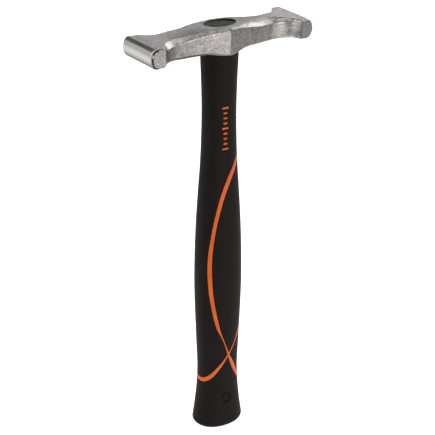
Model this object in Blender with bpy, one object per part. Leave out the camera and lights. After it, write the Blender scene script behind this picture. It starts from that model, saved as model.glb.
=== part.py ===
"""Double cross-peen stretching hammer with a moulded, fibreglass-cored handle.

Frame: metres, +Z up the handle, +X along the head, +Y across the peens. The origin is the
middle of the handle's flat butt end, and the hammer is nearly symmetric about Y = 0. The head's
left arm, on the -X side, is stouter than its right arm. A forged steel head is bonded with cast resin to a fibreglass core. An orange hard sleeve
is moulded over the core, and its raised ribs divide the soft black grip into four panels.
"""

import math

import bmesh
import bpy
from mathutils import Vector

MM = 0.001

# Whole hammer
TOTAL_LENGTH = 305 * MM
HEAD_LENGTH = 130 * MM
FIT_GAP = 0.3 * MM

# Head, with heights measured down from its top face
PEEN_WIDTH = 37 * MM
PEEN_HEIGHT = 14.2 * MM
PEEN_RIDGE_AT = 59.5 * MM
FACE_SQUARENESS = 2.25
FACE_STEPS = 9
CHEEK_WIDTH = 27.8 * MM
EYE_FLAT = 17 * MM
SEAT_DROP = 20.4 * MM
ARM_UNDERSIDE_DROP = 17.6 * MM
ARM_STARTS = 18 * MM

# The left arm and the right arm: where the waist is, its half-width, where the flare meets the
# peen, how suddenly it flares, how low the peen's middle is, the bottom bevel, and the top
# bevels' slope and their (place, size) stations
ARMS = {
    -1: (
        41 * MM, 10.4 * MM, 54 * MM, 1.9, 10.6 * MM, 1.8 * MM, 1.0,
        ((0, 2.2), (10, 2.6), (34, 2.8), (42, 3.8), (50, 2.0), (57, 0.8)),
    ),
    1: (
        38 * MM, 7.9 * MM, 55.7 * MM, 3.0, 10 * MM, 1.0 * MM, 0.85,
        ((0, 2.2), (10, 2.4), (26, 3.4), (36, 3.7), (54, 1.8), (58, 0.8)),
    ),
}
PEEN_DROP_STARTS = 6 * MM  # past the waist

# Eye, an oval hole that narrows to a throat so that the cast resin locks in it
EYE_SIZE = (24 * MM, 16.4 * MM)
EYE_THROAT = (22 * MM, 14.4 * MM)
EYE_SIDES = 32
RESIN_RECESS = 1.0 * MM

# Fibreglass core
CORE_SIZE = (14 * MM, 9.4 * MM)
CORE_BOTTOM = 9 * MM
CORE_BEVEL = 0.5 * MM

# Grip: height above the butt and width along X, both in millimetres
GRIP_STATIONS = (
    (4.5, 37.6), (17, 34.2), (30, 31.6), (46, 30.3), (70, 32.2), (108, 35.0), (134, 34.8),
    (159, 33.1), (183, 30.2), (207, 26.9), (238, 25.1), (262, 25.8), (286, 27.8),
)
GRIP_FLATNESS = 0.78
GRIP_SQUARENESS = 2.2
BUTT_ROUND = 4.5 * MM
SKIN = 2.0 * MM
SLEEVE_INSET = SKIN + FIT_GAP
SLEEVE_BOTTOM = 5 * MM
GRIP_RING_PITCH = 12 * MM
GRIP_SIDES = 32
NECK_STARTS = 276 * MM

# Raised ribs on the sleeve: degrees round from +X, height and width in millimetres.
# Each is half of a loop that is mirrored across Y = 0.
LEAF_RIB = (
    (0, 212, 3.0), (40, 208.5, 2.8), (66, 201, 2.8), (87, 193, 3.0), (107, 181.5, 3.0),
    (122, 166.5, 3.0), (131, 153, 3.0), (137, 139, 3.1), (138, 125, 3.2), (134, 109, 3.1),
    (126, 94.5, 3.0), (116, 82, 2.8), (107, 75, 1.2), (96, 67.5, 1.0), (83, 58, 1.6),
    (70, 50.5, 2.9), (55, 43, 3.0), (31, 35, 3.0), (0, 31.5, 3.0),
)
RING_RIB = (
    (0, 79.5, 3.0), (26, 78, 3.0), (46, 73.5, 2.6), (57, 69.5, 1.4), (70, 63.5, 1.0),
    (82, 58.6, 1.3), (98, 53, 1.8), (117, 47.2, 2.8), (135, 42.3, 3.1), (156, 39, 3.2),
    (180, 38, 3.2),
)
RIB_STEP = 4 * MM
RIB_ROOT = 0.6 * MM
RING_SUNK = 0.1 * MM
RIBS = (("leaf", LEAF_RIB, 0), ("ring", RING_RIB, RING_SUNK))

# Plain tally bars in the sleeve's orange, on the -Y side of the neck
BAR_COUNT = 9
BAR_TOP = 247 * MM
BAR_PITCH = 3.7 * MM
BAR_LENGTH = 1.8 * MM
BAR_WIDTHS = (5.2 * MM, 3.2 * MM, 3.2 * MM, 3.2 * MM)
BAR_MIDDLE = 95

CUT_THROUGH = 1.0 * MM
SHARP_ANGLE = math.radians(32)


# ---------------------------------------------------------------- scene and mesh helpers

def clear_scene():
    for old in list(bpy.data.objects):
        bpy.data.objects.remove(old)


def material(name, colour, roughness, metallic=0.0):
    made = bpy.data.materials.new(name)
    made.use_nodes = True
    shader = made.node_tree.nodes["Principled BSDF"]
    shader.inputs["Base Color"].default_value = (*colour, 1.0)
    shader.inputs["Roughness"].default_value = roughness
    shader.inputs["Metallic"].default_value = metallic
    made.diffuse_color = (*colour, 1.0)
    return made


def add_object(name, mesh, finish=None, parent=None, location=(0, 0, 0)):
    made = bpy.data.objects.new(name, mesh)
    bpy.context.scene.collection.objects.link(made)
    made.location = location
    made.parent = parent
    if finish:
        mesh.materials.clear()
        mesh.materials.append(finish)
        mesh.shade_smooth()
        mesh.set_sharp_from_angle(angle=SHARP_ANGLE)
    return made


def loft(name, rings, closed=False):
    """A closed body through rings of equal length: capped at both ends, or joined end to end."""
    bm = bmesh.new()
    rows = [[bm.verts.new(point) for point in ring] for ring in rings]
    count = len(rows[0])
    pairs = list(zip(rows, rows[1:]))
    if closed:
        pairs.append((rows[-1], rows[0]))
    for lower, upper in pairs:
        for i in range(count):
            j = (i + 1) % count
            bm.faces.new((lower[i], lower[j], upper[j], upper[i]))
    if not closed:
        bm.faces.new(list(reversed(rows[0])))
        bm.faces.new(rows[-1])
    bmesh.ops.recalc_face_normals(bm, faces=bm.faces)
    bmesh.ops.triangulate(bm, faces=bm.faces)
    mesh = bpy.data.meshes.new(name)
    bm.to_mesh(mesh)
    bm.free()
    return mesh


def hide_as_cutter(cutter):
    cutter.hide_render = True
    cutter.display_type = "WIRE"


def combine(target, other, operation):
    modifier = target.modifiers.new(other.name, "BOOLEAN")
    modifier.operation = operation
    modifier.solver = "EXACT"
    modifier.object = other
    hide_as_cutter(other)


def evaluated_mesh(source):
    bpy.context.view_layer.update()
    depsgraph = bpy.context.evaluated_depsgraph_get()
    return bpy.data.meshes.new_from_object(source.evaluated_get(depsgraph))


def separate_bodies(mesh):
    """The mesh's separate bodies as new meshes."""
    whole = bmesh.new()
    whole.from_mesh(mesh)
    whole.verts.index_update()
    island = {}
    count = 0
    for start in whole.verts:
        if start.index in island:
            continue
        waiting = [start]
        while waiting:
            vert = waiting.pop()
            if vert.index in island:
                continue
            island[vert.index] = count
            waiting.extend(edge.other_vert(vert) for edge in vert.link_edges)
        count += 1
    whole.free()
    bodies = []
    for wanted in range(count):
        part = bmesh.new()
        part.from_mesh(mesh)
        part.verts.index_update()
        others = [v for v in part.verts if island[v.index] != wanted]
        bmesh.ops.delete(part, geom=others, context="VERTS")
        body = bpy.data.meshes.new(mesh.name)
        part.to_mesh(body)
        part.free()
        bodies.append(body)
    return bodies


# ---------------------------------------------------------------- curves and outlines

def ease(value, start, end, low, high):
    """low before start, high after end, and a smooth change between them."""
    t = min(1.0, max(0.0, (value - start) / (end - start)))
    return low + (high - low) * t * t * (3 - 2 * t)


def along(stations, value):
    """A smooth curve through (place, size) stations, read at one place."""
    if value <= stations[0][0]:
        return stations[0][1]
    for i in range(len(stations) - 1):
        (x1, y1), (x2, y2) = stations[i], stations[i + 1]
        if value > x2:
            continue
        x0, y0 = stations[max(0, i - 1)]
        x3, y3 = stations[min(len(stations) - 1, i + 2)]
        slope_1 = (y2 - y0) / (x2 - x0)
        slope_2 = (y3 - y1) / (x3 - x1)
        span = x2 - x1
        t = (value - x1) / span
        return (
            (2 * t**3 - 3 * t**2 + 1) * y1 + (t**3 - 2 * t**2 + t) * span * slope_1
            + (3 * t**2 - 2 * t**3) * y2 + (t**3 - t**2) * span * slope_2
        )
    return stations[-1][1]


def between(p0, p1, p2, p3, f):
    """A point from p1 to p2 on the smooth curve through four points, f going from 0 to 1."""
    return 0.5 * (
        2 * p1 + (p2 - p0) * f + (2 * p0 - 5 * p1 + 4 * p2 - p3) * f * f
        + (3 * p1 - p0 - 3 * p2 + p3) * f**3
    )


def oval(size, z, sides):
    angles = [2 * math.pi * i / sides for i in range(sides)]
    return [Vector((math.cos(a) * size[0] / 2, math.sin(a) * size[1] / 2, z)) for a in angles]


# ---------------------------------------------------------------- head

def cheek_half_width(x, side):
    """Half the head's width across Y: a straight taper to the waist, then a flare to the peen."""
    waist_at, waist, flare_end, power = ARMS[side][:4]
    if x <= waist_at:
        return CHEEK_WIDTH / 2 + (waist - CHEEK_WIDTH / 2) * x / waist_at
    reach = (min(x, flare_end) - waist_at) / (flare_end - waist_at)
    return waist + (PEEN_WIDTH / 2 - waist) * reach**power


def underside_drop(x):
    """How far the head's underside lies below its top face, at a distance x from the eye."""
    waist_at, _, flare_end, _, centre_drop = ARMS[1 if x > 0 else -1][:5]
    seat = ease(abs(x), 0, ARM_STARTS, SEAT_DROP, ARM_UNDERSIDE_DROP)
    peen_bottom = centre_drop + PEEN_HEIGHT / 2
    return ease(abs(x), waist_at + PEEN_DROP_STARTS, flare_end, seat, peen_bottom)


def along_underside(ring, gap, base=0.0):
    """Drops a ring's points to the head's underside, about a head top at the height base."""
    for point in ring:
        point.z = base - underside_drop(point.x) - gap
    return ring


def head_section(x, half_height=None):
    """One slice of the head across X: eight corners with bevelled edges, as (y, z) about its top."""
    distance, side = abs(x), 1 if x > 0 else -1
    flare_end, _, centre_drop, lower, slope, bevels = ARMS[side][2:]
    half_width = cheek_half_width(distance, side)
    top = -ease(distance, EYE_FLAT, flare_end, 0, centre_drop - PEEN_HEIGHT / 2)
    bottom = -underside_drop(x)
    bevel = along([(place * MM, size * MM) for place, size in bevels], distance)
    if half_height is not None:
        top = half_height - centre_drop
        bottom = -half_height - centre_drop
        bevel = lower = min(bevel, half_height / 2)
    drop = bevel * slope
    corners = (
        (half_width - bevel, top), (half_width, top - drop), (half_width, bottom + lower),
        (half_width - lower, bottom), (lower - half_width, bottom), (-half_width, bottom + lower),
        (-half_width, top - drop), (bevel - half_width, top),
    )
    return [Vector((x, y, z)) for y, z in corners]


def head_mesh():
    ends = []
    power = 2 / FACE_SQUARENESS
    for side in (-1, 1):
        waist_at, _, flare_end = ARMS[side][:3]
        run = flare_end - waist_at
        places = [x * MM for x in (6, 12, EYE_FLAT / MM, 22, 28, 33)]
        places += [waist_at + run * math.sin(math.radians(a)) for a in range(0, 91, 10)]
        half = [(x, None) for x in places]
        for i in range(FACE_STEPS):
            angle = math.pi / 2 * (1 - i / (FACE_STEPS - 0.7))
            reach = (HEAD_LENGTH / 2 - PEEN_RIDGE_AT) * math.cos(angle) ** power
            half.append((PEEN_RIDGE_AT + reach, PEEN_HEIGHT / 2 * math.sin(angle) ** power))
        half[-1] = (HEAD_LENGTH / 2, half[-1][1])
        ends.append([head_section(side * x, h) for x, h in half])
    return loft("hammer_head", ends[0][::-1] + [head_section(0)] + ends[1])


def eye_rings(clearance, low, high, steps=6):
    """Rings of the eye's double taper between two heights about the head's top face."""
    rings = []
    for i in range(steps + 1):
        z = low + (high - low) * i / steps
        middle = -SEAT_DROP / 2
        t = min(1.0, abs(z - middle) / abs(middle))
        size = [throat + (mouth - throat) * t for throat, mouth in zip(EYE_THROAT, EYE_SIZE)]
        rings.append(oval([s - 2 * clearance for s in size], z, EYE_SIDES))
    return rings


def build_head(parent, steel, resin):
    top = (0, 0, TOTAL_LENGTH)
    head = add_object("hammer_head", head_mesh(), steel, parent, top)
    eye_cutter = loft("eye_cutter", eye_rings(0, -SEAT_DROP - CUT_THROUGH, CUT_THROUGH))
    combine(head, add_object("eye_cutter", eye_cutter, None, parent, top), "DIFFERENCE")

    bore = [CORE_SIZE[0] + 2 * FIT_GAP, CORE_SIZE[1] + 2 * FIT_GAP]
    rings = eye_rings(FIT_GAP, -SEAT_DROP, -RESIN_RECESS)
    along_underside(rings[0], 0)
    rings += [oval(bore, -RESIN_RECESS, EYE_SIDES), along_underside(oval(bore, 0, EYE_SIDES), 0)]
    add_object("eye_resin", loft("eye_resin", rings, closed=True), resin, parent, top)


# ---------------------------------------------------------------- handle

def grip_half_width(z):
    """Half the grip's width along X at a height, with the butt's rounded edge."""
    width = along([(place * MM, size * MM) for place, size in GRIP_STATIONS], z)
    if z >= BUTT_ROUND:
        return width / 2
    return width / 2 - BUTT_ROUND + math.sqrt(BUTT_ROUND**2 - (BUTT_ROUND - z) ** 2)


def grip_point(degrees, z, inset=0.0):
    """A point of the grip's surface, or a layer under it, at an angle from +X and a height."""
    half_x = grip_half_width(z)
    c, s = math.cos(math.radians(degrees)), math.sin(math.radians(degrees))
    squared = (abs(c) ** GRIP_SQUARENESS + abs(s) ** GRIP_SQUARENESS) ** (-1 / GRIP_SQUARENESS)
    x = (half_x - inset) * c * squared
    y = (half_x * GRIP_FLATNESS - inset) * s * squared
    return Vector((x, y, z))


def grip_ring(z, inset):
    return [grip_point(360 * i / GRIP_SIDES, z, inset) for i in range(GRIP_SIDES)]


def seated_ring(inset):
    """The top ring of a grip layer, which follows the head's underside."""
    return along_underside(grip_ring(TOTAL_LENGTH - SEAT_DROP, inset), FIT_GAP, TOTAL_LENGTH)


def grip_heights(bottom):
    """Ring heights up the grip, close together round the butt's edge."""
    rim = [BUTT_ROUND * (1 - math.cos(math.radians(a))) for a in (0, 25, 50, 70, 90)]
    count = round((NECK_STARTS - BUTT_ROUND) / GRIP_RING_PITCH)
    side = [BUTT_ROUND + (NECK_STARTS - BUTT_ROUND) * i / count for i in range(1, count + 1)]
    return [z for z in rim + side if z >= bottom]


def skin_blank_mesh():
    """The whole soft grip as one cup, before the ribs divide it."""
    rings = [grip_ring(z, 0) for z in grip_heights(0)]
    rings += [seated_ring(0), seated_ring(SKIN)]
    inside = [z for z in grip_heights(0) if z > BUTT_ROUND]
    rings += [grip_ring(z, SKIN) for z in reversed(inside)]
    rings.append(grip_ring(BUTT_ROUND, SKIN))
    return loft("grip_skin", rings)


def sleeve_blank_mesh():
    """The hard sleeve without its ribs: a cup moulded over the core."""
    heights = [z for z in grip_heights(0) if z > SLEEVE_BOTTOM]
    rings = [grip_ring(SLEEVE_BOTTOM, SLEEVE_INSET + 0.4 * MM)]
    rings += [grip_ring(z, SLEEVE_INSET) for z in heights]
    rings.append(seated_ring(SLEEVE_INSET))
    bore = [CORE_SIZE[0] + 2 * FIT_GAP, CORE_SIZE[1] + 2 * FIT_GAP]
    rings.append(along_underside(oval(bore, 0, GRIP_SIDES), FIT_GAP, TOTAL_LENGTH))
    rings.append(oval(bore, CORE_BOTTOM - FIT_GAP, GRIP_SIDES))
    return loft("inner_sleeve", rings)


def core_mesh():
    bottom, top = CORE_BOTTOM, TOTAL_LENGTH - RESIN_RECESS
    small = [size - 2 * CORE_BEVEL for size in CORE_SIZE]
    rings = [
        oval(small, bottom, GRIP_SIDES), oval(CORE_SIZE, bottom + CORE_BEVEL, GRIP_SIDES),
        oval(CORE_SIZE, top - CORE_BEVEL, GRIP_SIDES), oval(small, top, GRIP_SIDES),
    ]
    return loft("core_rod", rings)


# ---------------------------------------------------------------- ribs and bars

def rib_stations(half):
    """Closely spaced stations round a rib, as (degrees, height, width)."""
    points = [Vector((-degrees, z * MM, width * MM)) for degrees, z, width in half]
    mirrored = [Vector((-p.x, p.y, p.z)) for p in points]
    before, after = mirrored[1], mirrored[-2]
    if points[-1].x == -180:
        after = Vector((-360 - points[-2].x, points[-2].y, points[-2].z))
    chain = [before] + points + [after]
    samples = []
    for i in range(1, len(chain) - 2):
        span = grip_point(chain[i + 1].x, chain[i + 1].y) - grip_point(chain[i].x, chain[i].y)
        steps = max(1, round(span.length / RIB_STEP))
        samples += [between(*chain[i - 1:i + 3], k / steps) for k in range(steps)]
    samples.append(points[-1])
    far = [Vector((-p.x, p.y, p.z)) for p in reversed(samples[1:-1])]
    return samples + far


def surface_frame(degrees, z):
    """The grip surface's two tangents at a place, per degree round and per metre up."""
    round_step, up_step = 0.5, 0.5 * MM
    around = grip_point(degrees + round_step, z) - grip_point(degrees - round_step, z)
    upward = grip_point(degrees, z + up_step) - grip_point(degrees, z - up_step)
    return around / (2 * round_step), upward / (2 * up_step)


def ribbon_mesh(name, half, extra_width, deep, high):
    """A ribbon that follows a rib over the grip, between two layers."""
    stations = rib_stations(half)
    count = len(stations)
    rings = []
    for i, here in enumerate(stations):
        ahead, behind = stations[(i + 1) % count], stations[i - 1]
        path = grip_point(ahead.x, ahead.y) - grip_point(behind.x, behind.y)
        around, upward = surface_frame(here.x, here.y)
        across = around.cross(upward).cross(path).normalized()
        half_width = here.z / 2 + extra_width
        turn = across.dot(around) / around.length_squared * half_width
        lift = across.dot(upward) / upward.length_squared * half_width
        ring = [(side, high) for side in (-1, 0, 1)] + [(side, deep) for side in (1, 0, -1)]
        rings.append([grip_point(here.x + s * turn, here.y + s * lift, d) for s, d in ring])
    return loft(name, rings, closed=True)


def bar_mesh(index, extra, deep, high):
    """One tally bar, a block that stands on the sleeve through the skin."""
    z = BAR_TOP - BAR_PITCH * index
    half_long = BAR_LENGTH / 2 + extra
    half_wide = BAR_WIDTHS[index % len(BAR_WIDTHS)] / 2 + extra
    around, _ = surface_frame(-BAR_MIDDLE, z)
    half_turn = half_wide / around.length
    rings = []
    for inset in (deep, high):
        ring = []
        for side, end in ((-1, -1), (0, -1), (1, -1), (1, 1), (0, 1), (-1, 1)):
            place = -BAR_MIDDLE + side * half_turn
            ring.append(grip_point(place, z + end * half_long, inset))
        rings.append(ring)
    return loft(f"bar_{index}", rings)


def build_sleeve(parent, orange):
    sleeve = add_object("inner_sleeve", sleeve_blank_mesh(), orange, parent)
    deep = SLEEVE_INSET + RIB_ROOT
    for name, half, sunk in RIBS:
        ribbon = ribbon_mesh(name, half, 0, deep + sunk, sunk)
        combine(sleeve, add_object(f"{name}_rib", ribbon, None, parent), "UNION")
    for index in range(BAR_COUNT):
        bar = add_object(f"bar_{index}", bar_mesh(index, 0, deep, 0), None, parent)
        combine(sleeve, bar, "UNION")


def panel_name(mesh):
    """Which grip panel a separate body is, told by the heights that it spans."""
    heights = [v.co.z for v in mesh.vertices]
    if max(heights) > NECK_STARTS:
        return "grip_main"
    if min(heights) < BUTT_ROUND:
        return "grip_butt"
    leaf_middle = (LEAF_RIB[0][1] + LEAF_RIB[-1][1]) / 2 * MM
    return "grip_front_panel" if max(heights) > leaf_middle else "grip_lens_panel"


def build_skin(parent, rubber):
    blank = add_object("grip_blank", skin_blank_mesh(), None, parent)
    hide_as_cutter(blank)
    deep, high = SLEEVE_INSET + CUT_THROUGH, -CUT_THROUGH
    for name, half, sunk in RIBS:
        slot = ribbon_mesh(name, half, FIT_GAP, deep + sunk, high + sunk)
        combine(blank, add_object(f"{name}_slot", slot, None, parent), "DIFFERENCE")
    for index in range(BAR_COUNT):
        window = bar_mesh(index, FIT_GAP, deep, high)
        combine(blank, add_object(f"window_{index}", window, None, parent), "DIFFERENCE")
    for mesh in separate_bodies(evaluated_mesh(blank)):
        name = panel_name(mesh)
        mesh.name = name
        add_object(name, mesh, rubber, parent)


def build_hammer():
    clear_scene()
    steel = material("forged_steel", (0.42, 0.41, 0.40), 0.38, 1.0)
    resin = material("cast_resin", (0.022, 0.022, 0.022), 0.45)
    fibreglass = material("fibreglass", (0.06, 0.06, 0.058), 0.6)
    orange = material("orange_plastic", (0.75, 0.16, 0.03), 0.45)
    rubber = material("soft_grip", (0.018, 0.016, 0.016), 0.62)

    hammer = bpy.data.objects.new("hammer", None)
    bpy.context.scene.collection.objects.link(hammer)
    build_head(hammer, steel, resin)
    add_object("core_rod", core_mesh(), fibreglass, hammer)
    build_sleeve(hammer, orange)
    build_skin(hammer, rubber)


build_hammer()
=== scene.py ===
"""Looks for the stretching hammer: a forged steel head on a soft-grip handle with orange ribs."""

import itertools
import math
from typing import NamedTuple

import bmesh
import bpy
import numpy as np
from mathutils import Matrix, Vector


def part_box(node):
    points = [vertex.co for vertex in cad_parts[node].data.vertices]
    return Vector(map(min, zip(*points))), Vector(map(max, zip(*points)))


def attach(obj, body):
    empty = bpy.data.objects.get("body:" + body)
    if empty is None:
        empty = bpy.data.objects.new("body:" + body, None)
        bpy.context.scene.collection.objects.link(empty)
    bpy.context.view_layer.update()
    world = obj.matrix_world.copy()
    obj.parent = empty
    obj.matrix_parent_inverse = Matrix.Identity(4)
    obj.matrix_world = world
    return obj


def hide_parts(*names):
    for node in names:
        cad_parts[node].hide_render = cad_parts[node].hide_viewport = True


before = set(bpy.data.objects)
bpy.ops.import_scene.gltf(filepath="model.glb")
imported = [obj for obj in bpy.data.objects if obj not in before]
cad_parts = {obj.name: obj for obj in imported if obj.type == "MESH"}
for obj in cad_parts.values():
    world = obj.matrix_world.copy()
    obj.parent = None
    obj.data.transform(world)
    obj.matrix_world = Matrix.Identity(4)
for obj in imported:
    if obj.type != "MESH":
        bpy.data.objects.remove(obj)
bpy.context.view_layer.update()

MM = 0.001

# ---------------------------------------------------------------- sizes, read from the frame
HEAD_HALF, PEEN_HALF_WIDTH, TOP_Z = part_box("hammer_head")[1]
TOP = TOP_Z / MM

# Head, in millimetres; heights are drops below its top face
CHEEK_HALF = 13.9
PEEN_HALF_HEIGHT = 7.1
PEEN_RIDGE_AT = 59.5
SEAT_DROP, ARM_UNDERSIDE_DROP, ARM_STARTS = 20.4, 17.6, 18.0
EYE_FLAT = 17.0
EYE_MOUTH, EYE_THROAT = (24.0, 16.4), (22.0, 14.4)
EDGE_ROUND = (1.1, 0.7, 0.5, 0.5, 0.5, 0.5, 0.7, 1.1)


class Arm(NamedTuple):
    """One arm of the head. The bevels and the crown are (distance from the eye, size) stations."""
    waist_at: float
    waist_half: float
    flare_end: float
    flare_power: float  # how suddenly it flares
    centre_drop: float  # of the peen
    squareness: float  # of the striking face's section
    rim: float  # chamfer round the striking face
    far_rim: float  # and at its far end
    slope: float  # of the near top bevel
    near: tuple
    far: tuple
    low: tuple
    crown: tuple


LEFT = Arm(
    41.0, 10.4, 54.0, 1.9, 10.6, 2.45, 1.3, 0.4, 1.0,
    (
        (0, 2.2), (8, 2.4), (22, 2.6), (34, 2.8), (41, 3.7), (47, 3.9), (52, 2.8), (56, 1.0),
        (65, 0.6),
    ),
    (
        (0, 2.2), (8, 2.4), (22, 2.6), (29, 2.5), (36, 1.2), (41, 0.9), (52, 0.8), (57, 0.8),
        (65, 0.6),
    ),
    ((0, 1.6), (12, 2.0), (25, 2.3), (40, 2.2), (50, 2.0), (54, 1.8), (58, 0.9), (65, 0.6)),
    ((0, 0.22), (12, 0.25), (19, 0.6), (26, 0.9), (34, 0.6), (42, 0.2), (58, 0.12), (65, 0.12)),
)
RIGHT = Arm(
    38.0, 7.9, 55.7, 3.0, 10.0, 2.1, 0.9, 0.9, 0.95,
    (
        (0, 2.1), (8, 2.3), (15, 2.7), (26, 3.3), (36, 3.3), (44, 2.9), (54, 1.8), (58, 0.8),
        (65, 0.6),
    ),
    (
        (0, 2.2), (10, 2.6), (22, 3.4), (28, 3.4), (33, 2.6), (37, 1.8), (42, 0.9), (54, 0.8),
        (65, 0.6),
    ),
    ((0, 1.0), (20, 1.4), (38, 1.2), (50, 1.6), (54, 2.0), (58, 0.9), (65, 0.6)),
    ((0, 0.22), (12, 0.35), (19, 1.0), (26, 1.5), (34, 1.1), (42, 0.3), (58, 0.12), (65, 0.12)),
)
# The ring where the arms meet, in the order of a section from arm_sections
MIDDLE_SECTION = (0, CHEEK_HALF - 0.05, 0, -SEAT_DROP, 2.2, 1.9, 2.15, 2.0, 1.3, 1.3, 0.22, 1)
FAR_SLOPE = 0.8  # of the far top bevel
PEEN_DROP_STARTS = 6.0  # past the waist
FACE_STEPS = 24
EDGE_COUNTS = (9, 30, 5, 40, 5, 30, 9, 44)  # points on each edge of a section, from the far bevel

# Tones of the steel's sides and top, as (distance from the eye, tone): painted light and shade,
# lighter where the head faces the light and darker where it lies in shade
LEFT_SIDE_SHADING = (
    (0, 1.17), (12, 1.13), (22, 1.05), (32, 0.9), (40, 0.72), (48, 0.68), (51.5, 0.5),
    (53.4, 0.42), (54.4, 0.96), (65, 0.96),
)
RIGHT_SIDE_SHADING = (
    (0, 0.68), (20, 0.69), (34, 0.77), (42, 0.86), (47, 1.12), (51, 1.45), (54.8, 1.5),
    (55.6, 0.76), (65, 0.76),
)
LEFT_TOP_SHADING = ((0, 1.0), (24, 1.0), (40, 1.22), (48, 1.36), (56, 1.12), (65, 1.05))
RIGHT_TOP_SHADING = ((0, 1.0), (26, 0.96), (42, 1.14), (50, 1.42), (65, 1.45))

# The forging's unevenness, as (size, depth, seed), and how far it may go below the drawn surface
WAVES, RIPPLES = (14, 0.16, 1), (6, 0.08, 2)
PITS, FINE_PITS = (2.2, 0.04, 3), (1.1, 0.035, 4)
FORGING_INSET, FACE_INSET = 0.25, 0.02

OVAL_SIDES = 96
EYE_LIP = (  # (height above the top face, how much wider than the eye's mouth)
    (-0.5, 0.06), (-0.35, 0.2), (-0.2, 0.45), (0.0, 0.9), (1.5, 3.5),
)

# Grip, in millimetres. Its stations are (height above the butt, width along X)
GRIP_STATIONS = (
    (4.5, 37.6), (17, 34.2), (30, 31.6), (46, 30.3), (70, 32.2), (108, 35.0), (134, 34.8),
    (159, 33.1), (183, 30.2), (207, 26.9), (238, 25.1), (262, 25.8), (286, 27.8),
)
GRIP_FLATNESS = 0.78
GRIP_SQUARENESS = 2.2
BUTT_ROUND = 4.5
SKIN = 2.0
FIT_GAP = 0.3
NECK_STARTS, NECK_ENDS = 276.0, 285.0
CORE_BORE, CORE_SIZE, CORE_END = (14.6, 10.0), (14, 9.4), (13.3, 8.7)
SKIN_SIDES = 176
SLOT_CLEARANCE = 0.12  # on each side of a rib
SLOT_DEPTH, RIB_DEPTH = SKIN + 1.2, SKIN + FIT_GAP + 0.6
RIB_DEEPER = 0.1  # the second rib is a little deeper, so that the two never share a face

# Half of each rib's loop round the grip, as (degrees from +X, height, width)
LEAF_RIB = (
    (0, 212, 3.0), (40, 208.5, 3.0), (66, 201, 3.2), (87, 193, 3.6), (107, 181.5, 3.3),
    (122, 166.5, 2.9), (131, 153, 2.8), (137, 139, 3.1), (138, 125, 3.4), (134, 109, 3.1),
    (126, 94.5, 2.9), (116, 82, 2.5), (107, 75, 1.2), (96, 67.5, 1.0), (83, 58, 1.6),
    (70, 50.5, 2.9), (55, 43, 3.0), (31, 35, 3.0), (0, 31.5, 3.0),
)
RING_RIB = (
    (0, 79.5, 3.0), (26, 78, 3.0), (46, 73.5, 2.6), (57, 69.5, 1.4), (70, 63.5, 1.0),
    (82, 58.6, 1.3), (98, 53, 1.8), (117, 47.2, 2.8), (135, 42.3, 3.1), (156, 39, 3.2),
    (180, 38, 3.2),
)
RIBS_PROUD = (0.08, 0.02)
BAR_COUNT, BAR_TOP, BAR_PITCH, BAR_LENGTH = 9, 247.0, 3.7, 1.4
BAR_WIDTHS = (5.2, 3.2, 3.2, 3.2)
BAR_MIDDLE = 95
RING_MARK = (-92, 23.8, 3.5, 1.3)  # degrees, height, radius, width
STATION_STEP = 0.9

# Floor, lights and camera. Directions are (azimuth, elevation) in degrees, lengths in metres
FLOOR_HALF = 4.0
FLOOR_AWAY = (0.562, 0.827, 0.0)
FLOOR_GLOW = 0.5
FLOOR_SEEN = 0.92
LIGHTS_AIM = Vector((0, 0, 0.2))
LIGHTS = (  # name, direction, distance, size, power in watts
    ("left", (-100, 22), 1.5, (0.9, 0.9), 9.0),
    ("left_high", (-75, 50), 1.5, (0.9, 0.9), 3.2),
    ("front_low", (8, 9), 1.4, (0.9, 0.4), 9.8),
    ("right_front", (45, 22), 1.5, (0.9, 0.9), 0.5),
    ("right_strip", (66, 41), 1.5, (0.6, 0.8), 2.8),
    ("right_back", (105, 30), 1.5, (0.9, 0.9), 7.4),
    ("back_right", (146, 24), 1.6, (1.2, 0.6), 3.4),
    ("back_left", (-141, 14), 1.6, (0.8, 0.5), 0.96),
    ("top", (0, 88), 1.6, (1.4, 1.4), 9.3),
)
CAMERA_DIRECTION, CAMERA_ROLL, CAMERA_DISTANCE = (-34.21, 23.71), 0.42, 1.2
CAMERA_ASIDE, CAMERA_AIM_Z = -0.49 * MM, 162.15 * MM
SENSOR_WIDTH = 36  # as the lens, in millimetres
CAMERA_LENS = 141.1862


# ---------------------------------------------------------------- small maths
def ease(value, start, end, low, high):
    t = np.clip((np.asarray(value, float) - start) / (end - start), 0, 1)
    return low + (high - low) * t * t * (3 - 2 * t)


def band(value, start, full, fading, end):
    """One between full and fading, falling to nothing at start and end."""
    return ease(value, start, full, 0, 1) * ease(value, fading, end, 1, 0)


def along(stations, value):
    """A smooth curve through (place, size) stations."""
    xs, ys = np.array(stations, float).T
    value = np.clip(np.asarray(value, float), xs[0], xs[-1])
    slopes = np.empty(len(xs))
    slopes[1:-1] = (ys[2:] - ys[:-2]) / (xs[2:] - xs[:-2])
    slopes[0] = (ys[1] - ys[0]) / (xs[1] - xs[0])
    slopes[-1] = (ys[-1] - ys[-2]) / (xs[-1] - xs[-2])
    i = np.clip(np.searchsorted(xs, value, side="right") - 1, 0, len(xs) - 2)
    span = xs[i + 1] - xs[i]
    t = (value - xs[i]) / span
    return (
        (2 * t**3 - 3 * t**2 + 1) * ys[i] + (t**3 - 2 * t**2 + t) * span * slopes[i]
        + (3 * t**2 - 2 * t**3) * ys[i + 1] + (t**3 - t**2) * span * slopes[i + 1]
    )


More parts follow.
